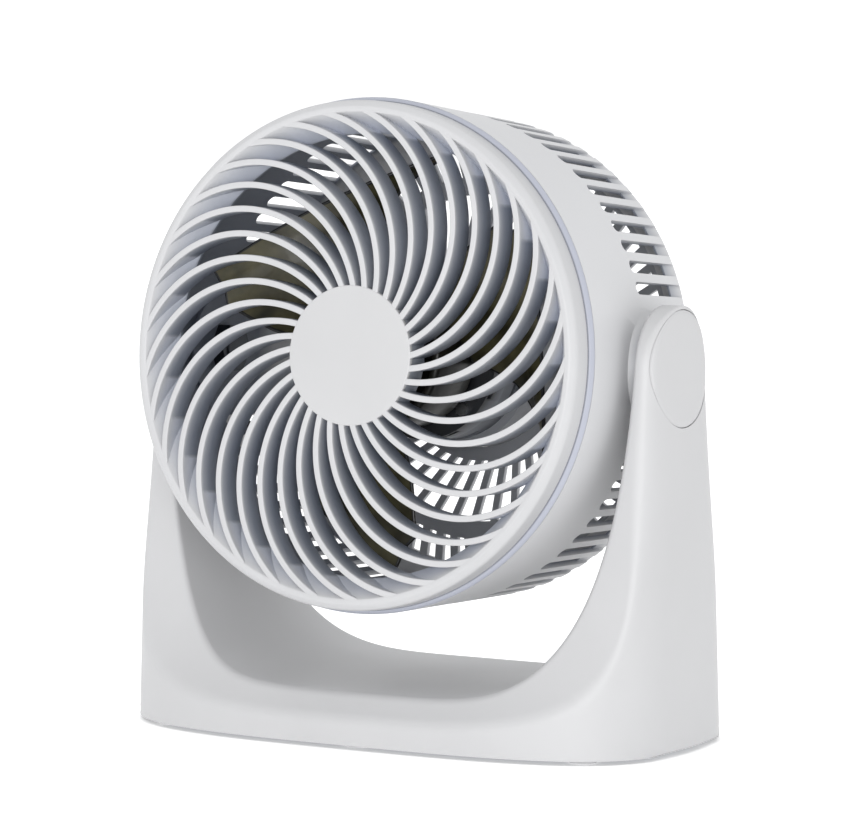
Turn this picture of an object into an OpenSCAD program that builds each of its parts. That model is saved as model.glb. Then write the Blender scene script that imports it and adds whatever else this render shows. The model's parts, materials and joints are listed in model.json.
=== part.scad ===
// Desk air circulator: round tilting head carried between the arms of a U-shaped yoke stand.
// Millimetres. Origin on the table under the middle of the stand, +Z up, air blows towards -Y.

/* [Stand] */
// Full width of the stand at the table
base_w = 292; // [288:1:300]
// Full depth of the stand at the table
base_d = 153.6; // [148:0.2:160]
// Squareness of the footprint outline
base_n = 3.2; // [2.8:0.1:3.6]
// Height of the tilt axis above the table
pivot_h = 181.5; // [180:0.5:186]
// Half width of the stand at the tilt axis
arm_x = 140; // [139:0.5:141]
// Radius of the arm's rounded top
arm_r = 29.6; // [29.4:0.2:31]
// Wall thickness of the hollow stand
yoke_wall = 2.6; // [2.2:0.1:3]
// Top of the saddle above the table
saddle_h = 26; // [25:0.5:30]
// Half width of the opening between the arms
gap_x = 128.5; // [128:0.25:129]
// Height of the rubber feet under the stand
foot_h = 2; // [1.8:0.1:2.4]

/* [Head] */
// Upward tilt of the head at rest, degrees
rest_tilt = 4.5; // [0:0.5:10]
// Outer radius of the front ring
ring_r = 120.5; // [119:0.25:121]
// Distance from the tilt axis to the front face
front_f = 72; // [72:0.5:74]
// Distance from the tilt axis to the rear face
rear_f = 58; // [57.5:0.5:60]
// Outer radius of the housing behind the seam
shell_r = 122.6; // [122:0.2:123]
// Outer radius of the housing at the rear shoulder
shell_rear_r = 118.2; // [117.5:0.1:119]
// Wall thickness of the housing
shell_t = 2.8; // [2.4:0.1:3]
// Number of curved vanes in the front grille
vanes = 33; // [24:1:36]
// Thickness of one front vane
vane_t = 3; // [2:0.1:3.2]
// Radius of the front badge disc
badge_r = 33.2; // [32:0.2:34]
// Side slots in a full turn of the housing
slots_all = 70; // [66:2:72]
// Width of one rear side slot
slot_w = 6.3; // [5:0.1:6.6]

/* [Fan] */
// Impeller tip radius
tip_r = 103; // [98:0.5:104]
// Number of impeller blades
blades = 3; // [2:1:3]
// Blade pitch, degrees
pitch = 24; // [20:1:26]
// Shaft radius
shaft_r = 4; // [3.5:0.5:4]
// Radial running clearance at every bearing
run_gap = 0.05; // [0.03:0.01:0.08]

/* [Hidden] */
$fn = 120;
white = [0.88, 0.89, 0.90];
grey = [0.35, 0.37, 0.40];
steel = [0.62, 0.63, 0.65];
pin_r = 8;
pivot_rel = pivot_h - foot_h;
saddle_rel = saddle_h - foot_h;
seam_f = front_f - 13.4;
screw_f = seam_f - 7.2;
shoulder = 12;
slot_front = -1.15;
slot_rear = 18 - rear_f;
slot_pitch = 360 / slots_all;
groove_r = shell_rear_r - 1.5;
back = -rear_f;
cup_r = 44;
rim_r = 105.6;
floor_f = -27.6;
arm_boss_x = 128;
head_boss_x = 126;

// ---- frames ----
// Face frame of the head: X right, Y up, Z along the fan axis towards the front.
module head() translate([0, 0, pivot_h]) rotate([-rest_tilt, 0, 0]) rotate([90, 0, 0]) children();
// Both pivots: local Z runs outwards along the tilt axis from the head's centre.
module pivots() for (s = [-1, 1]) translate([0, 0, pivot_h]) rotate([0, s * 90, 0]) children();
module tube(r1, r2, z0, z1)
  translate([0, 0, z0]) difference() {
    cylinder(r = r2, h = z1 - z0);
    translate([0, 0, -1]) cylinder(r = r1, h = z1 - z0 + 2);
  }
module disc(r, z0, z1) translate([0, 0, z0]) cylinder(r = r, h = z1 - z0);
module rod(p, q, r) {
  d = q - p;
  l = norm(d);
  translate(p) rotate([0, acos(d[2] / l), atan2(d[1], d[0])]) cylinder(r = r, h = l, $fn = 32);
}
module around(n, rad, a0 = 0) for (i = [0:n - 1]) rotate([0, 0, a0 + i * 360 / n]) translate([rad, 0, 0]) children();

// ---- stand outline ----
function sgn_pow(v, e) = sign(v) * pow(abs(v), e);
function half_depth(z) = arm_r + 0.09 * (pivot_rel - z) + 31.5 * exp(-(z - 13) / 29.4);
function u_rise(t) = 1 - pow(1 - pow(t, 5.07), 1 / 1.89);

module footprint(t)
  polygon([for (k = [0:71]) let (a = k * 5)
    [(base_w / 2 - t) * sgn_pow(cos(a), 2 / base_n), (base_d / 2 - t) * sgn_pow(sin(a), 2 / base_n)]]);

module column(t) {
  h = pivot_rel + arm_r + 4;
  taper = 1 - (1 - (arm_x - t) / (base_w / 2 - t)) * h / pivot_rel;
  linear_extrude(height = h, scale = [taper, 1], slices = 1) footprint(t);
}

module side_view(t) {
  polygon(concat(
    [for (i = [0:26]) let (z = 13 + i * (pivot_rel - 13) / 26) [half_depth(z) - t, z]],
    [for (i = [26:-1:0]) let (z = 13 + i * (pivot_rel - 13) / 26) [t - half_depth(z), z]]));
  translate([0, pivot_rel]) circle(r = arm_r - t);
  translate([-base_d, -3]) square([2 * base_d, 16.2]);
}

module u_opening(t) {
  g = gap_x + t;
  lift = saddle_rel - t;
  top = pivot_rel + 60;
  polygon(concat([[-g, top]],
    [for (k = [20:-1:1]) let (q = 1 - pow(1 - k / 20, 2)) [-g * q, lift + u_rise(q) * 166]],
    [for (k = [1:20]) let (q = 1 - pow(1 - k / 20, 2)) [g * q, lift + u_rise(q) * 166]],
    [[g, top]]));
}

module yoke_form(t)
  translate([0, 0, foot_h]) difference() {
    intersection() {
      column(t);
      rotate([90, 0, 90]) linear_extrude(height = 320, center = true) side_view(t);
    }
    rotate([90, 0, 0]) linear_extrude(height = 220, center = true) u_opening(t);
  }

post_x = 60;
post_y = 40;
module at_posts() for (x = [-post_x, post_x], y = [-post_y, post_y]) translate([x, y, 0]) children();

module yoke_shell() color(white)
  difference() {
    union() {
      difference() {
        yoke_form(0);
        yoke_form(yoke_wall);
        translate([0, 0, foot_h - 1]) linear_extrude(height = 1.2) footprint(yoke_wall);
      }
      intersection() {
        yoke_form(0);
        pivots() disc(arm_r - 0.2, 132.4, arm_x + 4);
      }
      pivots() disc(18, arm_boss_x, 133);
      at_posts() disc(4, foot_h + 2.8, saddle_h - 1.2);
    }
    pivots() disc(27.95, 135, arm_x + 8);
    pivots() disc(16, 132.4, arm_x + 8);
    pivots() disc(10, arm_boss_x - 4, arm_x);
    pivots() disc(14.3, arm_boss_x - 4, arm_boss_x);
    at_posts() disc(1.5, foot_h, 15);
  }

module cap_form(s)
  intersection() {
    translate([0, 0, foot_h]) column(0);
    translate([0, 0, pivot_h]) rotate([0, s * 90, 0]) difference() {
      disc(27.7, 135, arm_x + 4);
      disc(24.5, 134, 137.6);
    }
  }
module left_pivot_cap() color(white) cap_form(-1);
module right_pivot_cap() color(white) cap_form(1);

module base_plate() color(grey)
  difference() {
    translate([0, 0, foot_h + 0.4]) linear_extrude(height = 2.4) footprint(yoke_wall + 0.4);
    at_posts() disc(1.7, 0, 10);
  }

module base_ballast() color(steel)
  translate([-85, -28, foot_h + 2.8]) cube([170, 56, 8]);

module rubber_feet() color([0.8, 0.8, 0.81])
  for (x = [-114, 0, 114], s = [-1, 1]) translate([x, s * (x == 0 ? 62 : 50), 0])
    rotate_extrude($fn = 64)
      polygon([[0, 0], [6.6, 0], [8, 1.2], [8, foot_h + 0.4], [0, foot_h + 0.4]]);

module base_screws() color(steel)
  at_posts() difference() {
    union() {
      disc(3.2, foot_h - 0.8, foot_h + 0.4);
      disc(1.5, foot_h, 13);
    }
    translate([0, 0, foot_h - 0.9]) for (a = [0, 90]) rotate(a) cube([3.6, 0.8, 1], center = true);
  }

module pivot_bushes() color([0.75, 0.75, 0.72])
  pivots() difference() {
    union() {
      disc(14, arm_boss_x - 1.1, arm_boss_x);
      disc(9.95, arm_boss_x - 0.5, 132.4);
    }
    disc(pin_r + run_gap, arm_boss_x - 3, 134);
  }

// ---- head: tilt pins (turn with the head) ----
module pins_frame() for (s = [-1, 1]) head() rotate([0, s * 90, 0]) children();

module pivot_pins() color(steel)
  pins_frame() difference() {
    union() {
      disc(pin_r, 107.8, 134);
      disc(12.6, 133.1, 136);
    }
    translate([0, 0, 135.2]) cube([3, 16, 2], center = true);
  }

module pivot_nuts() color(steel)
  pins_frame() difference() {
    translate([0, 0, 108.6]) cylinder(r = 13, h = 7, $fn = 6);
    disc(pin_r, 100, 120);
  }

module friction_washers() color([0.2, 0.2, 0.2]) pins_frame() tube(pin_r + 0.2, 17, head_boss_x, head_boss_x + 0.8);
module thrust_washers() color(steel) pins_frame() tube(pin_r + 0.2, 13, 132.5, 133.1);

// ---- head: front grille ----
vane_cx = 26.15;
vane_cy = 56.13;
vane_arc = 61.36;
funnel_r = 105.4;
funnel_f = front_f - 15.5;

module ring_profile()
  polygon([
    [ring_r, seam_f + 0.2], [ring_r + 0.1, front_f - 3.4], [ring_r - 0.5, front_f - 1.5],
    [ring_r - 1.7, front_f - 0.4], [ring_r - 3.4, front_f], [ring_r - 5.2, front_f],
    [funnel_r, funnel_f], [funnel_r, seam_f - 8.6], [funnel_r + 2, seam_f - 8.6],
    [funnel_r + 2.2, funnel_f - 0.6], [ring_r - 5, front_f - 3.4], [ring_r - 2.7, front_f - 4.4],
    [ring_r - 4.8, seam_f + 2], [ring_r - 4.8, seam_f - 11.2], [ring_r - 2.6, seam_f - 11.2],
    [ring_r - 2.6, seam_f + 0.2]]);

module one_vane()
  translate([vane_cx, vane_cy, 0]) rotate([0, 0, -86]) rotate_extrude(angle = 111.5)
    polygon([
      [vane_arc - vane_t / 2 + 0.4, front_f - 14.6], [vane_arc + vane_t / 2 - 0.4, front_f - 14.6],
      [vane_arc + vane_t / 2, front_f - 0.3], [vane_arc - vane_t / 2, front_f - 0.3]]);

module front_grille() color(white)
  head() difference() {
    union() {
      rotate_extrude($fn = 180) ring_profile();
      intersection() {
        for (i = [0:vanes - 1]) rotate([0, 0, i * 360 / vanes]) one_vane();
        rotate_extrude() polygon([[30, front_f - 15], [funnel_r + 1.6, front_f - 15],
          [funnel_r + 1.6, funnel_f], [ring_r - 4.4, front_f], [badge_r + 0.1, front_f],
          [badge_r + 0.1, front_f - 2.6], [30, front_f - 2.6]]);
      }
      tube(30, badge_r - 0.4, front_f - 14.8, front_f - 2.4);
      tube(4, 31, front_f - 4.8, front_f - 2.4);
      rotate([90, 0, 0]) translate([0, screw_f, 0]) disc(3.6, 108.4, ring_r - 3);
    }
    rotate([90, 0, 0]) translate([0, screw_f, 0]) disc(1.5, 110, 124);
  }

module hub_badge() color(white)
  head() {
    rotate_extrude() polygon([[0, front_f - 2.4], [badge_r, front_f - 2.4], [badge_r, front_f - 0.5],
      [badge_r - 0.5, front_f], [0, front_f]]);
    disc(4, front_f - 7, front_f - 2);
  }

module grille_screw() color(steel)
  head() rotate([90, 0, 0]) translate([0, screw_f, 0]) {
    disc(1.5, 111, 121);
    disc(2.7, 119.8, 121.4);
  }

module trim_ring() color([0.75, 0.78, 0.84])
  head() rotate_extrude($fn = 180)
    polygon([[119, seam_f - 2.6], [shell_r - 0.1, seam_f - 2.6], [shell_r - 0.1, seam_f - 2.2],
      [ring_r, seam_f - 0.4], [119, seam_f - 0.4]]);

// ---- head: rear housing ----
module shell_profile() {
  c = shell_rear_r - shoulder;
  polygon(concat(
    [[118.1, seam_f - 0.6], [118.9, seam_f - 0.6], [118.9, seam_f - 2.9], [shell_r, seam_f - 2.9]],
    [for (a = [0:10:90]) [c + shoulder * cos(a), shoulder - rear_f - shoulder * sin(a)]],
    [[rim_r, -rear_f], [rim_r, shell_t - rear_f]],
    [for (a = [90:-10:0]) [c + (shoulder - shell_t) * cos(a), shoulder - rear_f - (shoulder - shell_t) * sin(a)]],
    [[shell_r - shell_t - 0.5, seam_f - 15.4], [115.8, seam_f - 13.4], [115.8, seam_f - 11.4], [118.1, seam_f - 11.4]]));
}

function bar_length(r0, r1, lean) = sqrt(r1 * r1 - pow(r0 * sin(lean), 2)) - r0 * cos(lean);

module swirl_bars(n, r0, r1, w, lean)
  for (i = [0:n - 1]) rotate([0, 0, i * 360 / n]) translate([r0, 0]) rotate([0, 0, lean])
    translate([0, -w / 2]) square([bar_length(r0, r1, lean), w]);

module ring2d(r0, r1) difference() {
  circle(r = r1);
  circle(r = r0);
}

module rear_grille() color(white)
  head() translate([0, 0, -rear_f]) linear_extrude(height = shell_t) {
    swirl_bars(45, 49, 83, 3.4, -25.9);
    swirl_bars(slots_all, 88, 103.6, 4.2, 11.5);
    ring2d(cup_r + 0.1, 51);
    ring2d(81, 90);
    ring2d(103, rim_r - 0.1);
  }

module motor_cup() color(white)
  head() difference() {
    union() {
      rotate_extrude() polygon([[cup_r - 2.2, -rear_f], [cup_r, -rear_f], [cup_r, floor_f],
        [12, floor_f], [12, floor_f - 2.4], [cup_r - 2.2, floor_f - 2.4]]);
      around(3, 38.4, 90) disc(3.6, -rear_f, floor_f - 1);
    }
    around(3, 38.4, 90) disc(1.4, back - 1, back + 10);
    around(3, 16.8, 30) disc(1.7, -40, -20);
  }

// Each side slot is open along the wall and goes on over the shoulder as a shallow groove.
module side_slots()
  for (k = [0:slots_all / 2], s = [0, 180])
    if (18 + k * slot_pitch <= 162.5)
      rotate([0, 0, s + 18 + k * slot_pitch]) {
        translate([104, 0, 0]) rotate([0, 90, 0]) linear_extrude(height = 22) {
          translate([-slot_front, -slot_w / 2]) square([slot_front - slot_rear, slot_w]);
          translate([-slot_front, 0]) circle(r = slot_w / 2, $fn = 32);
        }
        translate([groove_r, -slot_w / 2, -rear_f - 1]) cube([20, slot_w, rear_f + slot_rear + 1.2]);
      }

module rear_housing() color(white)
  head() difference() {
    union() {
      rotate_extrude($fn = 180) shell_profile();
      for (s = [-1, 1]) rotate([0, s * 90, 0]) rotate_extrude()
        polygon(concat([[0, 115.6], [28, 115.6]],
          [for (a = [270:-9:189]) [28 + 10 * cos(a), 127.1 + 10 * sin(a)]],
          [[18, head_boss_x], [0, head_boss_x]]));
    }
    side_slots();
    for (s = [-1, 1]) rotate([0, s * 90, 0]) disc(pin_r, 110, 130);
    rotate([90, 0, 0]) translate([0, screw_f, 0]) disc(1.7, 116, 124);
    rotate([90, 0, 0]) translate([0, screw_f, 0]) disc(2.9, 119.8, 126);
  }

// ---- motor ----
motor_r = 40;
module vents(z0, z1) for (i = [0:9]) rotate([0, 0, 18 + i * 36]) translate([30, -4, z0]) cube([20, 8, z1 - z0]);

module motor_rear_shell() color(grey)
  head() difference() {
    union() {
      rotate_extrude() polygon([[5, floor_f], [motor_r, floor_f], [motor_r, -12], [38, -12],
        [38, floor_f + 2], [13.5, floor_f + 2], [13.5, -20.6], [11, -20.6], [11, floor_f + 2], [5, floor_f + 2]]);
      around(3, 16.8, 30) disc(3.5, floor_f + 1, -21.5);
    }
    around(3, 16.8, 30) disc(1.5, floor_f - 1, -22.2);
    around(4, 34.5, 45) disc(1.6, floor_f - 1, -20);
    for (i = [0:7]) rotate([0, 0, 22.5 + i * 45]) translate([32, -4, -24]) cube([12, 8, 3.4]);
  }

module motor_front_shell() color(grey)
  head() difference() {
    rotate_extrude() polygon([[38, -12], [motor_r, -12], [motor_r, 2], [motor_r - 2, 4], [13.5, 4],
      [13.5, 9.4], [6.5, 9.4], [6.5, 8.6], [11, 8.6], [11, 2], [38, 2]]);
    around(4, 34.5, 45) disc(1.6, 0, 6);
    for (i = [0:7]) rotate([0, 0, 22.5 + i * 45]) translate([32, -4, -3]) cube([12, 8, 3.6]);
  }

module stator_core() color(steel)
  head() difference() {
    tube(19.6, 38, -20, -4);
    around(4, 34.5, 45) disc(1.6, -21, -3);
    around(8, 21.5, 22.5) translate([-4, -0.9, -21]) cube([6, 1.8, 18]);
  }

module stator_windings() color([0.72, 0.42, 0.2])
  head() {
    rotate_extrude() polygon([[23, -20], [31.5, -20], [31.5, -24], [30, -25.2], [24.5, -25.2], [23, -24]]);
    rotate_extrude() polygon([[23, -4], [31.5, -4], [31.5, 0], [30, 1.4], [24.5, 1.4], [23, 0]]);
  }

module motor_bearings() color(steel)
  head() {
    tube(shaft_r + run_gap, 11, floor_f + 2, -20.8);
    tube(shaft_r + run_gap, 11, 3, 8.6);
  }

module motor_bolts() color(steel)
  head() around(4, 34.5, 45) {
    disc(1.5, floor_f, 5);
    disc(3, 4, 6.2);
  }

module mount_screws() color(steel)
  head() around(3, 16.8, 30) {
    disc(1.5, -31, -22.2);
    disc(3.2, -32.2, -30);
  }

// ---- rear cover, switch and knob ----
module rear_cover() color(white)
  head() difference() {
    rotate_extrude() polygon([[0, back], [cup_r - 0.4, back], [cup_r - 0.4, back - 1.4],
      [cup_r - 1.4, back - 2.4], [0, back - 2.4]]);
    disc(4.6, back - 4, back + 2);
    translate([0, -30, 0]) disc(4.6, back - 4, back + 2);
    around(3, 38.4, 90) disc(1.6, back - 4, back + 2);
    around(3, 38.4, 90) disc(3.1, back - 4, back - 1.2);
  }

module cover_screws() color(steel)
  head() around(3, 38.4, 90) {
    disc(1.4, back - 1.4, back + 9);
    disc(3, back - 2.3, back - 1.2);
  }

module run_capacitor() color([0.85, 0.83, 0.75]) head() translate([-15, 17, floor_f - 24.4]) cube([30, 14, 22]);

module rotary_switch() color([0.15, 0.15, 0.16])
  head() difference() {
    union() {
      disc(13, back, back + 12);
      disc(4.5, back - 4, back + 1);
    }
    disc(3 + run_gap, back - 5, back + 10.5);
  }

module terminal_block() color([0.9, 0.9, 0.88])
  head() difference() {
    translate([-13, -31, -42]) cube([26, 10, 12]);
    for (x = [-8, 0, 8]) translate([x, -28, 0]) disc(1.6, -43, -36);
  }

module switch_leads() color([0.6, 0.1, 0.1])
  head() for (x = [-8, 0, 8]) rod([x, -20.1, -42.2], [x * 0.7, -9, back + 13], 0.8);

module cord_gland() color([0.2, 0.2, 0.21])
  head() translate([0, -30, 0]) difference() {
    union() {
      disc(4.5, back - 3, back + 8);
      disc(7, back - 4, back - 2.4);
      disc(5.6, back - 12, back - 3);
    }
    disc(2.8, back - 14, back + 10);
  }

module gland_nut() color([0.2, 0.2, 0.21])
  head() translate([0, -30, 0]) difference() {
    translate([0, 0, back]) cylinder(r = 7, h = 4, $fn = 6);
    disc(4.5, back - 2, back + 8);
  }

module speed_knob() color(white)
  head() difference() {
    rotate_extrude() polygon([[0, back - 3], [16, back - 3], [15, back - 15.5], [13.6, back - 17], [0, back - 17]]);
    disc(5.4, back - 4.6, back - 2);
    disc(3, back - 12, back - 2);
    translate([-0.8, 4, back - 18]) cube([1.6, 9, 2]);
  }

module knob_pointer() color(grey) head() translate([-0.8, 4, back - 17.2]) cube([1.6, 9, 1.2]);

module switch_spindle() color(steel) head() disc(3, back - 12, back + 10);

// ---- rotor ----
module motor_shaft() color(steel) head() disc(shaft_r, -27, 50);
module rotor_core() color(steel) head() tube(shaft_r, 19, -20, -4);
module shaft_collars() color(steel)
  head() {
    tube(shaft_r, 6, -20.7, -20);
    tube(shaft_r, 6, -4, 2.9);
  }

module blade_section()
  rotate(pitch) translate([0, 95]) intersection() {
    ring2d(93.9, 96.1);
    polygon([[0, 0], [-78, -120], [78, -120]]);
  }

module impeller() color([0.16, 0.17, 0.16])
  head() union() {
    rotate_extrude() polygon([[31.8, 12], [34, 12], [34, 42], [31, 46], [shaft_r, 46], [shaft_r, 14],
      [8, 14], [8, 43.8], [30, 43.8], [31.8, 41.4]]);
    intersection() {
      for (i = [0:blades - 1]) rotate([0, 0, i * 360 / blades]) rotate([90, 0, 90])
        translate([0, 27, 32]) linear_extrude(height = 80) blade_section();
      tube(32.5, tip_r, 9, 51);
    }
  }

module impeller_nut() color([0.2, 0.2, 0.2])
  head() difference() {
    rotate_extrude() polygon([[0, 46], [11, 46], [11, 50], [8, 53], [0, 53]]);
    disc(shaft_r, 40, 50);
  }

yoke_shell();
base_plate();
base_ballast();
rubber_feet();
base_screws();
left_pivot_cap();
right_pivot_cap();
pivot_bushes();
front_grille();
hub_badge();
grille_screw();
trim_ring();
rear_housing();
rear_grille();
motor_cup();
pivot_pins();
pivot_nuts();
friction_washers();
thrust_washers();
motor_rear_shell();
motor_front_shell();
stator_core();
stator_windings();
motor_bearings();
motor_bolts();
mount_screws();
rear_cover();
cover_screws();
run_capacitor();
rotary_switch();
terminal_block();
switch_leads();
cord_gland();
gland_nut();
motor_shaft();
rotor_core();
shaft_collars();
impeller();
impeller_nut();
speed_knob();
knob_pointer();
switch_spindle();
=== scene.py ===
import json
import math
import bpy
import bmesh
from mathutils import Matrix, Vector


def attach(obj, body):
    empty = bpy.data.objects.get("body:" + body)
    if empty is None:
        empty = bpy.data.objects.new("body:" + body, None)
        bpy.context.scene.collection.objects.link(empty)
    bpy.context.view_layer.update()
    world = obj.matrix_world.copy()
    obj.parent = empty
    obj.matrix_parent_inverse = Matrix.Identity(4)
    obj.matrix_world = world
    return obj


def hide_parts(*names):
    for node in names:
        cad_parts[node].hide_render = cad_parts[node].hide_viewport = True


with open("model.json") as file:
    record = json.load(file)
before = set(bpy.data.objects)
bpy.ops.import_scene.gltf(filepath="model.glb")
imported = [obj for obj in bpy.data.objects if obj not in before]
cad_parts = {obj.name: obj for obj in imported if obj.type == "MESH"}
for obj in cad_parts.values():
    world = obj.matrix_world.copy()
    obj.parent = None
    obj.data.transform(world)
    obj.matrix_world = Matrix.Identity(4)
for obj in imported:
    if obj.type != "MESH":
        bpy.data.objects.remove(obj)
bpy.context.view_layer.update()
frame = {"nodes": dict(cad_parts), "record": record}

MM = 0.001

# ---------- sizes shared with the CAD, in millimetres ----------
PIVOT_H = 181.5
TILT = math.radians(4.5)
FRONT_F = 72.0
RING_R = 120.5
SEAM_F = FRONT_F - 13.4
BADGE_R = 33.2
FUNNEL_R = 105.4
FUNNEL_F = FRONT_F - 15.5
VANES = 33
BASE_W, BASE_D = 292.0, 153.6
BASE_POWER = 3.2  # exponent of the rounded footprint
ARM_X, ARM_R = 140.0, 29.6
FOOT_H = 2.0
SADDLE = 24.0
GAP_X = 128.5
CAP_R, RECESS_R = 27.7, 27.95
PIVOT_REL = PIVOT_H - FOOT_H
TOP_REL = PIVOT_REL + ARM_R

# face frame of the head: X right, Y up, Z out of the front grille
HEAD = (Matrix.Translation((0, 0, PIVOT_H * MM)) @ Matrix.Rotation(-TILT, 4, "X")
        @ Matrix.Rotation(math.pi / 2, 4, "X"))
HEAD_INV = HEAD.inverted()
WORLD = Matrix.Identity(4)


# ---------- mesh helpers ----------
WELD = 1e-6


def build(name, verts, faces, place=WORLD, sharp=35.0):
    """A mesh object from points in millimetres, smooth except across edges over `sharp` degrees."""
    mesh = bpy.data.meshes.new(name)
    mesh.from_pydata([Vector(v) * MM for v in verts], [], faces)
    mesh.transform(place)
    obj = bpy.data.objects.new(name, mesh)
    bpy.context.scene.collection.objects.link(obj)
    tidy(obj, sharp)
    return obj


def tidy(obj, sharp):
    """Welds the mesh, turns its faces outward and marks its sharp edges."""
    bm = bmesh.new()
    bm.from_mesh(obj.data)
    bmesh.ops.remove_doubles(bm, verts=bm.verts, dist=WELD)
    bmesh.ops.dissolve_degenerate(bm, dist=WELD / 10, edges=bm.edges)
    bmesh.ops.recalc_face_normals(bm, faces=bm.faces)
    limit = math.radians(sharp)
    for e in bm.edges:
        e.smooth = not (len(e.link_faces) == 2 and e.calc_face_angle(0) > limit)
    for f in bm.faces:
        f.smooth = True
    bm.to_mesh(obj.data)
    bm.free()


def fillet(points, radii, steps=5):
    """A closed outline with each corner rounded by its own radius."""
    out = []
    n = len(points)
    for i, (p, r) in enumerate(zip(points, radii)):
        p = Vector(p)
        a = (Vector(points[i - 1]) - p)
        b = (Vector(points[(i + 1) % n]) - p)
        if r <= 0:
            out.append(tuple(p))
            continue
        half = a.angle(b) / 2
        cut = min(r / math.tan(half), 0.49 * a.length, 0.49 * b.length)
        r = cut * math.tan(half)
        start, end = p + a.normalized() * cut, p + b.normalized() * cut
        centre = p + (a.normalized() + b.normalized()).normalized() * (r / math.sin(half))
        u, v = start - centre, end - centre
        turn = u.angle_signed(v)
        for k in range(steps + 1):
            w = u.copy()
            w.rotate(Matrix.Rotation(-turn * k / steps, 2))
            out.append(tuple(centre + w))
    return out


def lathe(profile, n):
    """Closed (r, z) outline turned about Z in n steps."""
    verts, faces = [], []
    m = len(profile)
    for i in range(n):
        a = 2 * math.pi * i / n
        c, s = math.cos(a), math.sin(a)
        verts += [(r * c, r * s, z) for r, z in profile]
    for i in range(n):
        j = (i + 1) % n
        for k in range(m):
            l = (k + 1) % m
            faces.append((i * m + k, j * m + k, j * m + l, i * m + l))
    return verts, faces


def sweep(rings):
    """Skin through equal rings of points, closed at both ends."""
    m = len(rings[0])
    verts = [p for ring in rings for p in ring]
    faces = []
    for i in range(len(rings) - 1):
        for k in range(m):
            l = (k + 1) % m
            faces.append((i * m + k, i * m + l, (i + 1) * m + l, (i + 1) * m + k))
    faces.append(tuple(range(m))[::-1])
    faces.append(tuple((len(rings) - 1) * m + k for k in range(m)))
    return verts, faces


def join(parts):
    """Several (points, faces) as one."""
    verts, faces = [], []
    for v, f in parts:
        base = len(verts)
        verts += v
        faces += [tuple(i + base for i in g) for g in f]
    return verts, faces


def turned(part, angle):
    """A copy of (points, faces), turned about Z."""
    c, s = math.cos(angle), math.sin(angle)
    return [(x * c - y * s, x * s + y * c, z) for x, y, z in part[0]], part[1]


# ---------- materials ----------
def blend_to(nt, cloud, tint, attribute, colour, spread):
    """Blends `tint` into a cloudy `colour` where the mesh attribute is 1."""
    amount = nt.nodes.new("ShaderNodeAttribute")
    amount.attribute_name = attribute
    other = nt.nodes.new("ShaderNodeValToRGB")
    other.color_ramp.elements[0].color = tuple(c * (1 - spread) for c in colour) + (1,)
    other.color_ramp.elements[1].color = tuple(c * (1 + spread) for c in colour) + (1,)
    nt.links.new(cloud.outputs["Fac"], other.inputs["Fac"])
    mix = nt.nodes.new("ShaderNodeMix")
    mix.data_type = "RGBA"
    nt.links.new(amount.outputs["Fac"], mix.inputs["Factor"])
    nt.links.new(tint, mix.inputs["A"])
    nt.links.new(other.outputs["Color"], mix.inputs["B"])
    return mix.outputs["Result"]


def plastic(name, colour, rough, grain=0.012, scale=900.0, mottle=0.02, coat=0.0,
            metal=0.0, vary=0.05, inner=None, pale=None, cloud_scale=14.0):
    """Moulded plastic: faint cloudy colour, fine bump, roughness that varies a little.

    With `inner`, corners whose "shade" attribute is 1 take that colour, a painted shade; with
    `pale` the same for their "pale" attribute, a painted light."""
    mat = bpy.data.materials.new(name)
    mat.use_nodes = True
    nt = mat.node_tree
    bsdf = nt.nodes["Principled BSDF"]
    coords = nt.nodes.new("ShaderNodeTexCoord")
    cloud = nt.nodes.new("ShaderNodeTexNoise")
    cloud.inputs["Scale"].default_value = cloud_scale
    cloud.inputs["Detail"].default_value = 4.0
    nt.links.new(coords.outputs["Object"], cloud.inputs["Vector"])
    ramp = nt.nodes.new("ShaderNodeValToRGB")
    lo = tuple(max(0.0, c * (1 - mottle)) for c in colour) + (1,)
    hi = tuple(min(1.0, c * (1 + mottle)) for c in colour) + (1,)
    ramp.color_ramp.elements[0].position = 0.35
    ramp.color_ramp.elements[0].color = lo
    ramp.color_ramp.elements[1].position = 0.65
    ramp.color_ramp.elements[1].color = hi
    nt.links.new(cloud.outputs["Fac"], ramp.inputs["Fac"])
    tint = ramp.outputs["Color"]
    if pale:
        tint = blend_to(nt, cloud, tint, "pale", pale, 0.02)
    if inner:
        tint = blend_to(nt, cloud, tint, "shade", inner, 0.15)
    nt.links.new(tint, bsdf.inputs["Base Color"])
    rr = nt.nodes.new("ShaderNodeMapRange")
    rr.inputs["From Min"].default_value = 0.3
    rr.inputs["From Max"].default_value = 0.7
    rr.inputs["To Min"].default_value = rough - vary
    rr.inputs["To Max"].default_value = rough + vary
    nt.links.new(cloud.outputs["Fac"], rr.inputs["Value"])
    nt.links.new(rr.outputs["Result"], bsdf.inputs["Roughness"])
    fine = nt.nodes.new("ShaderNodeTexNoise")
    fine.inputs["Scale"].default_value = scale
    fine.inputs["Detail"].default_value = 3.0
    nt.links.new(coords.outputs["Object"], fine.inputs["Vector"])
    bump = nt.nodes.new("ShaderNodeBump")
    bump.inputs["Strength"].default_value = grain * 8
    bump.inputs["Distance"].default_value = 0.0002
    nt.links.new(fine.outputs["Fac"], bump.inputs["Height"])
    nt.links.new(bump.outputs["Normal"], bsdf.inputs["Normal"])
    bsdf.inputs["Coat Weight"].default_value = coat
    bsdf.inputs["Metallic"].default_value = metal
    return mat


# the first colour is painted shade, inside the drum, rear grille and motor cup and on the pivot
# bosses; the second is painted shadow in the trim's seams
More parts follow.
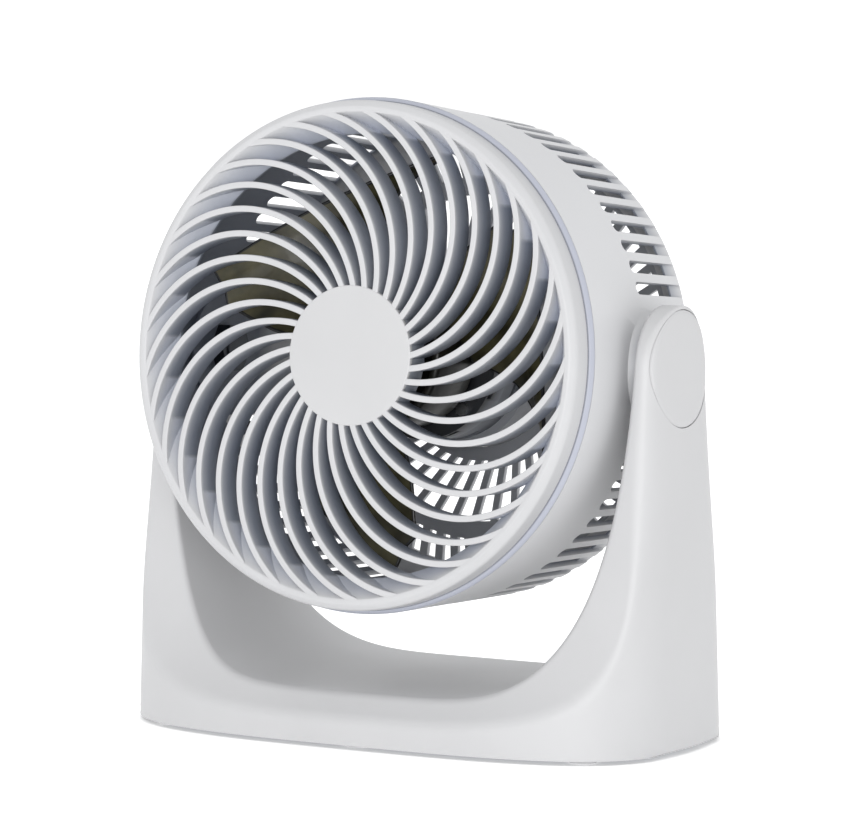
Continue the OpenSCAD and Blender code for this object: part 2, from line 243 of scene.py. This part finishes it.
PAINTED_SHADE_BLUE, DARK = (0.15, 0.168, 0.212), (0.05, 0.053, 0.062)
WHITE = plastic("shell_white", (0.468, 0.468, 0.475), 0.42, grain=0.010)
# the housing's white is a lighter copy of the shell's white, painted light, for what is probably
# the same plastic; its inner colour is painted shade
HOUSING = plastic("shell_white_housing", (0.535, 0.537, 0.548), 0.42, grain=0.010, inner=PAINTED_SHADE_BLUE)
# the inner colour is painted shade on the vanes' deep flanks and behind the funnel; the pale colour
# is painted light, paler and bluer, on the funnel
VANES_WHITE = plastic("shell_white_grille", (0.468, 0.469, 0.478), 0.42, grain=0.010,
                      inner=(0.20, 0.228, 0.29), pale=(0.60, 0.63, 0.71))
BADGE = plastic("badge_white", (0.462, 0.462, 0.468), 0.36, grain=0.004)
KNOB = plastic("knob_white", (0.51, 0.51, 0.517), 0.38, grain=0.008)
# the inner colour is painted shadow in the trim's seams
TRIM = plastic("trim_blue_grey", (0.36, 0.375, 0.435), 0.40, grain=0.006, inner=DARK)
GREY = plastic("inner_grey", (0.26, 0.275, 0.31), 0.5, grain=0.02)
# the inner colour is painted shade in the motor's hollows
MOTOR = plastic("inner_grey_motor", (0.33, 0.35, 0.40), 0.45, grain=0.02,
                inner=(0.03, 0.032, 0.036))
BLACK = plastic("black_plastic", (0.02, 0.02, 0.022), 0.45, grain=0.02)
# the inner colour is painted shade, on the hub and along the blades' rims
SMOKE = plastic("impeller_smoke", (0.070, 0.063, 0.030), 0.34, grain=0.004, coat=0.1, mottle=0.8,
                inner=(0.012, 0.012, 0.012), cloud_scale=36.0)
BUSH = plastic("bush_plastic", (0.62, 0.60, 0.54), 0.4)
FIBRE = plastic("washer_fibre", (0.04, 0.036, 0.032), 0.85, grain=0.06, scale=500)
RUBBER = plastic("foot_rubber", (0.60, 0.60, 0.61), 0.75, grain=0.03)
CREAM = plastic("capacitor_body", (0.66, 0.62, 0.50), 0.45)
SLEEVE = plastic("lead_sleeve", (0.35, 0.02, 0.015), 0.4)
STEEL = plastic("steel", (0.52, 0.53, 0.55), 0.32, grain=0.02, scale=350, metal=1.0, vary=0.1)
# near-black steel: painted shade on the pivot nuts, pins and thrust washers, which lie inside the
# drum
STEEL_PAINTED_DARK = plastic("steel_painted_dark", (0.07, 0.075, 0.085), 0.4, grain=0.02, scale=350,
                     metal=1.0, vary=0.1)
COPPER = plastic("winding_copper", (0.34, 0.14, 0.055), 0.45, grain=0.04, scale=260,
                 metal=0.5, vary=0.1)
MATS = {"shell_white": WHITE, "badge_white": BADGE, "knob_white": KNOB, "trim_blue_grey": TRIM,
        "inner_grey": GREY, "black_plastic": BLACK, "impeller_smoke": SMOKE, "bush_plastic": BUSH,
        "washer_fibre": FIBRE, "foot_rubber": RUBBER, "capacitor_body": CREAM,
        "lead_sleeve": SLEEVE, "steel": STEEL, "winding_copper": COPPER}


def recolour(obj, material):
    obj.data.materials.clear()
    obj.data.materials.append(material)


def piece(obj, body, slot, *nodes):
    """Gives an object its body and the material of its slot, and hides the CAD nodes that it
    replaces.
    """
    recolour(obj, MATS[slot])
    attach(obj, body)
    if nodes:
        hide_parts(*nodes)
    return obj


# the CAD nodes that stay get the material of their slot
for entry in frame["record"]["subparts"]:
    recolour(frame["nodes"][entry["node"]], MATS[entry["material_slot"]])
# painted shade: the pivot hardware inside the drum takes the near-black steel
for name in ("pivot_nuts", "pivot_pins", "thrust_washers"):
    recolour(frame["nodes"][name], STEEL_PAINTED_DARK)


def head_point(v):
    """Radius and height along the fan axis, in millimetres, of a point of the head."""
    p = HEAD_INV @ v / MM
    return math.hypot(p.x, p.y), p.z


def shade_corners(obj, rule, attribute="shade"):
    """Writes a mesh attribute: rule(radius, height along the fan axis) at every corner; the
    attributes carry painted shade ("shade") and painted light ("pale").
    """
    written = obj.data.attributes.new(attribute, "FLOAT", "CORNER")
    for corner, entry in zip(obj.data.loops, written.data):
        amount = rule(*head_point(obj.data.vertices[corner.vertex_index].co))
        entry.value = min(1.0, max(0.0, amount))


# ---------- front grille ----------
VANE_CENTRE, VANE_ARC = Vector((26.15, 56.13)), 61.36
VANE_START, VANE_END = math.radians(-86), math.radians(25.4)
VANE_T, VANE_DEPTH = 3.0, 14.6
BADGE_F = FRONT_F - 2.4  # back of the centre disc
# below SHADE_F the grille's painted shade starts
SHADE_F = FRONT_F - 0.8  # below this the grille's own shading starts
SKIRT_F = SEAM_F - 11.2  # end of the skirt that plugs into the drum


def ring_section():
    """The ring: outside, front, funnel down to its edge, back of the funnel, skirt."""
    pts = [(RING_R, SEAM_F + 0.2), (RING_R + 0.1, FRONT_F - 2.6), (RING_R - 3.0, FRONT_F),
           (RING_R - 5.4, FRONT_F - 0.15), (FUNNEL_R, FUNNEL_F), (FUNNEL_R, FUNNEL_F - 2.4),
           (FUNNEL_R + 2, FUNNEL_F - 2.4), (FUNNEL_R + 2.2, FUNNEL_F - 0.6),
           (RING_R - 5, FRONT_F - 3.4), (RING_R - 2.7, FRONT_F - 4.4), (RING_R - 4.8, SEAM_F + 2),
           (RING_R - 4.8, SKIRT_F), (RING_R - 2.6, SKIRT_F), (RING_R - 2.6, SEAM_F + 0.2)]
    rad = [0.5, 3.0, 1.6, 1.2, 2.5, 0.5, 0.5, 0.4, 0.4, 0.4, 0.4, 0.4, 0.4, 0.2]
    return fillet(pts, rad)


def vane_point(phi, offset=0.0):
    """A point of a vane's arc, seen from the front."""
    return VANE_CENTRE + (VANE_ARC + offset) * Vector((math.cos(phi), math.sin(phi)))


def vane_angle(radius):
    """Where along its arc a vane crosses a radius of the grille."""
    lo, hi = VANE_START, VANE_END
    for _ in range(40):
        mid = (lo + hi) / 2
        lo, hi = (mid, hi) if vane_point(mid).length < radius else (lo, mid)
    return lo


def vane():
    """One curved vane: flat front, rounded front edges, thinner towards the back."""
    low, top, half = FRONT_F - VANE_DEPTH, FRONT_F - 0.25, VANE_T / 2
    pts = [(-half + 0.4, low), (half - 0.4, low), (half - 0.1, top - 7), (half, top - 2.2),
           (half, top), (-half, top), (-half, top - 2.2), (-half + 0.1, top - 7)]
    section = fillet(pts, [0.5, 0.5, 0, 0, 0.5, 0.5, 0, 0], 5)
    angles = [VANE_START + (VANE_END - VANE_START) * i / 56 for i in range(57)]
    angles = sorted(angles + [vane_angle(FUNNEL_R - 0.15), vane_angle(FUNNEL_R + 0.1)])
    return sweep([[(*vane_point(phi, o), z) for o, z in section] for phi in angles])


one = vane()
parts = [lathe(ring_section(), 288)] + [turned(one, 2 * math.pi * i / VANES) for i in range(VANES)]
hub = fillet([(4, FRONT_F - 4.8), (30, FRONT_F - 4.8), (30, FRONT_F - 14.8),
              (BADGE_R - 0.4, FRONT_F - 14.8), (BADGE_R - 0.4, BADGE_F), (4, BADGE_F)],
             [0, 0.5, 0.5, 0.6, 0.2, 0], 3)
parts.append(lathe(hub, 144))
grille = build("front_grille_looks", *join(parts), place=HEAD, sharp=40)
piece(grille, "head", "shell_white", "front_grille")


def vane_shade(r, f):
    """Painted shade: dark behind the funnel; inside its edge the vanes' flanks darken with depth.
    """
    below = SHADE_F - f
    if r > FUNNEL_R - 1 and f < FUNNEL_F - 0.5 and r < RING_R - 2.7:
        return 1.0
    if r > FUNNEL_R or r < BADGE_R - 3.5 or below <= 0:
        return 0.0
    return min(0.27 * below, 0.45 + 0.06 * below, 1.0)


def funnel_pale(r, f):
    """Painted light: the funnel and the vanes' ends over it are paler towards its edge."""
    over_funnel = FUNNEL_R - 0.02 < r < RING_R - 4.5 and f > FUNNEL_F - 0.5
    return (SHADE_F - f) / 8 if over_funnel else 0.0


# painted shade on the vanes' flanks and painted light on the funnel
shade_corners(grille, vane_shade)
shade_corners(grille, funnel_pale, "pale")
recolour(grille, VANES_WHITE)

badge_profile = fillet([(0, BADGE_F), (BADGE_R, BADGE_F), (BADGE_R, FRONT_F - 0.02), (0, FRONT_F)],
                       [0, 0.1, 0.7, 0])
badge_profile = [(max(r, 0.0), f) for r, f in badge_profile]
badge = build("hub_badge_looks", *lathe(badge_profile, 192), place=HEAD, sharp=50)
piece(badge, "head", "badge_white", "hub_badge")


# ---------- housing, rear grille, motor cup: the CAD shapes, smoothed, with painted shade inside ---
REAR_F, WALL = -58.0, 2.8
SHOULDER, SHOULDER_R, SHOULDER_F = 12.0, 106.2, -46.0  # radius and centre of the rounded shoulder
DRUM_R = (118.2, 122.6)  # at the shoulder and at the seam
BOSS_R, BOSS_F = 121.5, 30.0


def depth_under_skin(r, f):
    """How far inside the drum's outer surface a point lies."""
    if f > SHOULDER_F:
        skin_r = DRUM_R[0] + (DRUM_R[1] - DRUM_R[0]) * (f - SHOULDER_F) / (SEAM_F - 4 - SHOULDER_F)
        return skin_r - r
    if r > SHOULDER_R:
        return SHOULDER - math.hypot(r - SHOULDER_R, f - SHOULDER_F)
    return f - REAR_F


def from_cad(node, slot="shell_white"):
    """A smooth-shaded copy of a CAD node of the head."""
    source = frame["nodes"][node].data
    verts = [v.co / MM for v in source.vertices]
    faces = [tuple(p.vertices) for p in source.polygons]
    return piece(build(node + "_looks", verts, faces, sharp=28), "head", slot, node)


def drum_shade(r, f):
    """Painted shade: dark inside; the pivot bosses, which stand out of the drum, a little darker
    than its skin.
    """
    if r > BOSS_R and abs(f) < BOSS_F:
        return min(0.36, 0.13 * (r - BOSS_R))
    return (depth_under_skin(r, f) - 0.2) / (WALL - 0.6) if f > SHOULDER_F + 4 else 0.0


drum = from_cad("rear_housing")
shade_corners(drum, drum_shade)
recolour(drum, HOUSING)
# half-strength painted shade on the inside of the rear grille and the motor cup, from their rear
# face inward
for name in ("rear_grille", "motor_cup"):
    back = from_cad(name)
    shade_corners(back, lambda r, f: 0.5 * (f - REAR_F) / WALL if f < REAR_F + WALL else 0.5)
    recolour(back, HOUSING)
# painted shade in the motor's hollows: the shell dark in front of -6 and inside radius 37
shell = from_cad("motor_front_shell", "inner_grey")
shade_corners(shell, lambda r, f: 1.0 if f > -6 or r < 37 else 0.0)
recolour(shell, MOTOR)

# the trim ring, with painted shadow as a dark line along both of its seams
LINE, STEP = 0.14, 0.02
TRIM_REAR, TRIM_FRONT = SEAM_F - 2.75, SEAM_F
trim_profile = [(119.2, TRIM_REAR), (122.0, TRIM_REAR), (122.45, TRIM_REAR + LINE),
                (122.5, TRIM_REAR + LINE + STEP), (122.5, SEAM_F - 2.0),
                (121.0, TRIM_FRONT - LINE - STEP), (120.9, TRIM_FRONT - LINE),
                (120.6, TRIM_FRONT), (119.2, TRIM_FRONT)]


def trim_shade(r, f):
    """Painted shadow: dark along the rear seam, half as dark along the front one."""
    if f < TRIM_REAR + LINE + STEP / 2:
        return 1.0
    return 0.45 if f > TRIM_FRONT - LINE - STEP / 2 else 0.0


trim = build("trim_ring_looks", *lathe(trim_profile, 288), place=HEAD, sharp=40)
piece(trim, "head", "trim_blue_grey", "trim_ring")
shade_corners(trim, trim_shade)
recolour(trim, TRIM)


# ---------- impeller ----------
def along(points, s):
    """Point of a polar polyline (radius, degrees) at s from 0 to 1 by radius, as (x, y)."""
    lo, hi = points[0][0], points[-1][0]
    r = lo + (hi - lo) * s
    for (r0, a0), (r1, a1) in zip(points, points[1:]):
        if r <= r1 or (r1, a1) == points[-1]:
            w = (r - r0) / (r1 - r0)
            a = math.radians(a0 + (a1 - a0) * w)
            return Vector((r * math.cos(a), r * math.sin(a)))


BLADES, BLADE_T, RIM_R = 3, 1.6, 0.95
BLADE_F, BLADE_RISE = 14, 31  # leading edge, and how far the trailing edge is in front of it
# a blade's edges from the hub to the tip, as (radius, degrees)
LEADING = [(33.0, 119), (60, 110), (80, 97), (92, 86), (101, 79)]
TRAILING = [(33.0, 172), (60, 170), (79, 167), (88, 166), (92, 161.5), (101.5, 158)]


def blade_point(s, t):
    """Middle surface of a blade: s from hub to tip, t from the leading to the trailing edge."""
    p = along(LEADING, s).lerp(along(TRAILING, s), t)
    p *= 1 + 0.055 * math.sin(math.pi * t) * s
    return Vector((p.x, p.y, BLADE_F + BLADE_RISE * t + 3.5 * math.sin(math.pi * t) * s))


def blade():
    """One wide thin blade, ruled between its two edges, nearer the front at its trailing end."""
    spans, rows = 44, 30
    n = rows + 1
    middle = [blade_point(j / rows, i / spans) for i in range(spans + 1) for j in range(n)]
    verts = [(p.x, p.y, p.z + BLADE_T / 2) for p in middle]
    verts += [(p.x, p.y, p.z - BLADE_T / 2) for p in middle]
    base = len(middle)
    faces = []
    for i in range(spans):
        for j in range(rows):
            a, b, c, d = i * n + j, i * n + j + 1, (i + 1) * n + j + 1, (i + 1) * n + j
            faces += [(a, b, c, d), (a + base, d + base, c + base, b + base)]
    loop = [i * n for i in range(spans + 1)] + [spans * n + j for j in range(1, n)]
    loop += [i * n + rows for i in range(spans - 1, -1, -1)] + list(range(rows - 1, 0, -1))
    for a, b in zip(loop, loop[1:] + loop[:1]):
        faces.append((a, b, b + base, a + base))
    return verts, faces


def bead(path, radius, sides=8):
    """A thin round rod along a path."""
    rings = []
    for i, p in enumerate(path):
        way = (path[min(i + 1, len(path) - 1)] - path[max(i - 1, 0)]).normalized()
        u = way.orthogonal().normalized()
        if rings:
            u = (last - way * last.dot(way)).normalized()
        last, v = u, way.cross(u)
        rings.append([tuple(p + radius * (math.cos(a) * u + math.sin(a) * v))
                      for a in (2 * math.pi * k / sides for k in range(sides))])
    return sweep(rings)


def blade_rim():
    """The thickened edge of a blade, from the hub round the tip and back."""
    up = [blade_point(0.03 + 0.97 * k / 40, 0) for k in range(41)]
    over = [blade_point(1, k / 60) for k in range(1, 60)]
    down = [blade_point(1 - 0.97 * k / 40, 1) for k in range(41)]
    return bead(up + over + down, RIM_R)


def impeller():
    hub = lathe(fillet([(4.05, 14), (13, 14), (13, 24), (31, 24), (31, 12.2), (34, 12.2),
                        (34, 45.8), (30, 46), (30, 26.5), (13, 26.5), (13, 30), (4.05, 30)],
                       [0.3, 0.5, 1, 1, 0.5, 0.5, 2, 0.5, 1, 1, 0.5, 0.3], 3), 144)
    one_blade = blade()
    parts = [hub] + [turned(one_blade, 2 * math.pi * k / BLADES) for k in range(BLADES)]
    return build("impeller_looks", *join(parts), place=HEAD, sharp=40)


smoky = piece(impeller(), "rotor", "impeller_smoke", "impeller")
# painted shade: the hub darker than the blades
shade_corners(smoky, lambda r, f: 0.9 if r < 35 else 0.0)  # a dark hub
one_rim = blade_rim()
all_rims = join([turned(one_rim, 2 * math.pi * k / BLADES) for k in range(BLADES)])
rims = build("impeller_rims", *all_rims, place=HEAD, sharp=60)
piece(rims, "rotor", "impeller_smoke")
# painted shade: the blades' rims dark all along
shade_corners(rims, lambda r, f: 1.0)

# ---------- yoke ----------
def half_depth(z):
    """Half thickness of the stand, front to back, at height z above its lower edge."""
    if z <= PIVOT_REL:
        return ARM_R + 0.09 * (PIVOT_REL - z) + 31.5 * math.exp(-(z - 13) / 29.4)
    return math.sqrt(max(0.0, ARM_R ** 2 - (z - PIVOT_REL) ** 2))


def half_width(z):
    """Half width of the stand: it narrows a little upwards."""
    return BASE_W / 2 + (ARM_X - BASE_W / 2) * z / PIVOT_REL


def wall_depth(x, z):
    """Half depth of the rounded footprint at x."""
    q = min(1.0, abs(x) / half_width(z))
    return BASE_D / 2 * max(0.0, 1 - q ** BASE_POWER) ** (1 / BASE_POWER)


def soft_min(a, b, k):
    """The smaller of two values, rounded off where they differ by less than k."""
    h = max(k - abs(a - b), 0.0) / k
    return min(a, b) - h * h * k / 4


def skin(x, z, extra=0.0):
    """Half depth of the stand's surface: its crease is crisp low down and melts away upwards."""
    t = min(1.0, max(0.0, (z - 50) / 100))
    k = 3.5 + 12.5 * t * t * (3 - 2 * t)
    return soft_min(half_depth(z), wall_depth(x, z), k * (1 - extra))


def u_point(q):
    """Right half of the opening's outline: q is 0 in mid saddle, 1 where the arms are straight."""
    rise = 1 - (1 - q ** 5.07) ** (1 / 1.89)
    return GAP_X * q, SADDLE + 166 * rise


def yoke_quarter():
    """Rows of points across the skin, from the opening's middle line to the outer outline."""
    inner = [u_point(1 - (1 - i / 130) ** 2) for i in range(131)]
    z = inner[-1][1]
    inner += [(GAP_X, z + (TOP_REL - z) * math.sin(math.pi / 2 * k / 26)) for k in range(1, 27)]
    edge, cols = 2.6, 96
    grid = []
    for i, (xi, zi) in enumerate(inner):
        a, b = inner[max(0, i - 1)], inner[min(len(inner) - 1, i + 1)]
        normal = Vector((1.0, 0.0))
        if zi < 150:
            normal = Vector((b[1] - a[1], a[0] - b[0])).normalized()
        # distance from the opening to the outer outline along the normal
        if normal.x < 1e-6:
            reach = zi
        else:
            reach = half_width(0) - xi
            for _ in range(20):
                reach = (half_width(max(0.0, zi + normal.y * reach)) - xi) / normal.x
            if normal.y < 0:
                reach = min(reach, zi / -normal.y)
        row = [(xi, -max(0.0, skin(xi, zi) - edge) * k / 16, zi) for k in range(16)]
        near = min(6.0, reach / 3)
        for j in range(cols + 1):
            q = j / cols
            if q < 0.15:
                lam = near * (q / 0.15) ** 1.6
            else:
                w = (q - 0.15) / 0.85
                lam = near + (reach - near) * (1 - (1 - w) ** 2.6)
            x, zz = xi + normal.x * lam, max(0.0, zi + normal.y * lam)
            depth = max(0.0, skin(x, zz))
            r = min(edge, depth)
            if lam < edge:
                depth -= r * (1 - math.sqrt(max(0.0, 1 - (1 - lam / edge) ** 2)))
            row.append((x, -depth, zz))
        grid.append(row)
    return grid


def clip_round(verts, faces, radius, x_min):
    """Cuts the round cap recess out of the skin and gives it a wall 2.4 deep."""
    level = [math.hypot(y, z - PIVOT_H) - radius if abs(x) > x_min else 99.0 for x, y, z in verts]
    cut, out, rim = {}, [], []

    def crossing(i, j):
        key = (min(i, j), max(i, j))
        if key not in cut:
            t = level[key[0]] / (level[key[0]] - level[key[1]])
            p = [verts[key[0]][n] + t * (verts[key[1]][n] - verts[key[0]][n]) for n in range(3)]
            k = radius / math.hypot(p[1], p[2] - PIVOT_H)
            cut[key] = len(verts)
            verts.append((p[0], p[1] * k, PIVOT_H + (p[2] - PIVOT_H) * k))
            level.append(0.0)
        return cut[key]

    for face in faces:
        inside = [level[i] < 0 for i in face]
        if not any(inside):
            out.append(face)
            continue
        if all(inside):
            continue
        poly, fresh = [], []
        for k, i in enumerate(face):
            j = face[(k + 1) % len(face)]
            if level[i] >= 0:
                poly.append(i)
            if (level[i] < 0) != (level[j] < 0):
                c = crossing(i, j)
                poly.append(c)
                fresh.append(c)
        if len(poly) > 2:
            out.append(tuple(poly))
        if len(fresh) == 2:
            rim.append(tuple(fresh))
    deep = {}
    for pair in rim:
        for i in pair:
            if i not in deep:
                x, y, z = verts[i]
                deep[i] = len(verts)
                verts.append((x - math.copysign(2.4, x), y, z))
        i, j = pair
        out.append((i, j, deep[j], deep[i]))
    return verts, out


def yoke():
    """The stand's skin from four mirrored quarters, with the cap recesses cut into it."""
    grid = yoke_quarter()
    m = len(grid[0])
    verts = [(x, y, z + FOOT_H) for row in grid for x, y, z in row]
    faces = [(i * m + j, i * m + j + 1, (i + 1) * m + j + 1, (i + 1) * m + j)
             for i in range(len(grid) - 1) for j in range(m - 1)]
    full_v, full_f = [], []
    for sx in (1, -1):
        for sy in (1, -1):
            base = len(full_v)
            full_v += [(sx * x, sy * y, z) for x, y, z in verts]
            full_f += [tuple(k + base for k in f) for f in faces]
    return clip_round(full_v, full_f, RECESS_R, 132.0)


piece(build("yoke_shell_looks", *yoke(), sharp=50), "stand", "shell_white", "yoke_shell")


def outer_x(y, z):
    """Where the stand's side surface is at (y, z), z above the stand's lower edge."""
    lo, hi = 120.0, half_width(z)
    for _ in range(40):
        mid = (lo + hi) / 2
        lo, hi = (mid, hi) if skin(mid, z, 0.55) > abs(y) else (lo, mid)
    return lo


def cap(side):
    """A pivot cap that follows the stand's side, with a softened edge and a short wall."""
    radii = [CAP_R * k / 22 for k in range(23)]
    inset = CAP_R - 0.4
    verts, faces, n = [], [], 160
    for k, r in enumerate(radii + [CAP_R, CAP_R]):
        drop = 0.35 if k == 22 else 0.08 if k == 21 else 0.0
        if k == 22:
            r = CAP_R - 0.1
        for i in range(n):
            a = 2 * math.pi * i / n
            y, z = r * math.cos(a), r * math.sin(a)
            x = outer_x(min(abs(y), inset), PIVOT_REL + max(-inset, min(inset, z))) - 0.05 - drop
            if k >= 23:
                x -= 0.7 if k == 23 else 3.0
            verts.append((side * x, y, z + PIVOT_H))
    for k in range(len(radii) + 1):
        for i in range(n):
            j = (i + 1) % n
            faces.append((k * n + i, k * n + j, (k + 1) * n + j, (k + 1) * n + i))
    return verts, faces


for side, name in ((-1, "left_pivot_cap"), (1, "right_pivot_cap")):
    piece(build(name + "_looks", *cap(side), sharp=50), "stand", "shell_white", name)

# ---------- floor, light, camera ----------
def floor():
    """A plain pale floor, lit as brightly as the backdrop."""
    size = 6000
    corners = [(-size, -size, 0), (size, -size, 0), (size, size, 0), (-size, size, 0)]
    obj = build("floor", corners, [(0, 1, 2, 3)])
    mat = bpy.data.materials.new("floor")
    mat.use_nodes = True
    nt = mat.node_tree
    bsdf = nt.nodes["Principled BSDF"]
    noise = nt.nodes.new("ShaderNodeTexNoise")
    noise.inputs["Scale"].default_value = 3.0
    ramp = nt.nodes.new("ShaderNodeValToRGB")
    ramp.color_ramp.elements[0].color = (0.955, 0.955, 0.955, 1)
    ramp.color_ramp.elements[1].color = (0.97, 0.97, 0.97, 1)
    nt.links.new(noise.outputs["Fac"], ramp.inputs["Fac"])
    nt.links.new(ramp.outputs["Color"], bsdf.inputs["Base Color"])
    bsdf.inputs["Roughness"].default_value = 0.9
    bsdf.inputs["Emission Color"].default_value = (1, 1, 1, 1)
    bsdf.inputs["Emission Strength"].default_value = 0.3
    obj.data.materials.append(mat)


floor()

world = bpy.data.worlds.new("studio")
bpy.context.scene.world = world
world.use_nodes = True
backdrop = world.node_tree.nodes["Background"]
backdrop.inputs["Color"].default_value = (0.99, 0.995, 1.0, 1)
backdrop.inputs["Strength"].default_value = 1.06


KEY_FROM, KEY_AT = Vector((1.1, -2.4, 0.42)), Vector((0, 0, 0.10))
light = bpy.data.lights.new("key", "AREA")
light.shape = "RECTANGLE"
light.size, light.size_y = 2.0, 0.8
light.energy = 29
key = bpy.data.objects.new("key", light)
bpy.context.scene.collection.objects.link(key)
key.location = KEY_FROM
key.rotation_euler = (KEY_AT - KEY_FROM).to_track_quat("-Z", "Y").to_euler()

bpy.context.scene.view_settings.view_transform = "Standard"

# camera: azimuth, elevation and distance in metres, then its shift from the grille's centre
az, el, dist = math.radians(30.18), math.radians(5.3), 2.1396
SHIFT_RIGHT, SHIFT_DOWN = 0.0351, 0.02642
right = Vector((math.cos(az), math.sin(az), 0))
back = Vector((math.sin(az) * math.cos(el), -math.cos(az) * math.cos(el), math.sin(el)))
up = back.cross(right)
hub_centre = HEAD @ Vector((0, 0, FRONT_F * MM))
cam_data = bpy.data.cameras.new("camera")
cam_data.sensor_width = 36.0
cam_data.lens = 193.0
cam_data.clip_end = 50
cam = bpy.data.objects.new("camera", cam_data)
bpy.context.scene.collection.objects.link(cam)
place = hub_centre + right * SHIFT_RIGHT - up * SHIFT_DOWN + back * dist
cam.matrix_world = Matrix.Translation(place) @ Matrix((right, up, back)).transposed().to_4x4()
bpy.context.scene.camera = cam
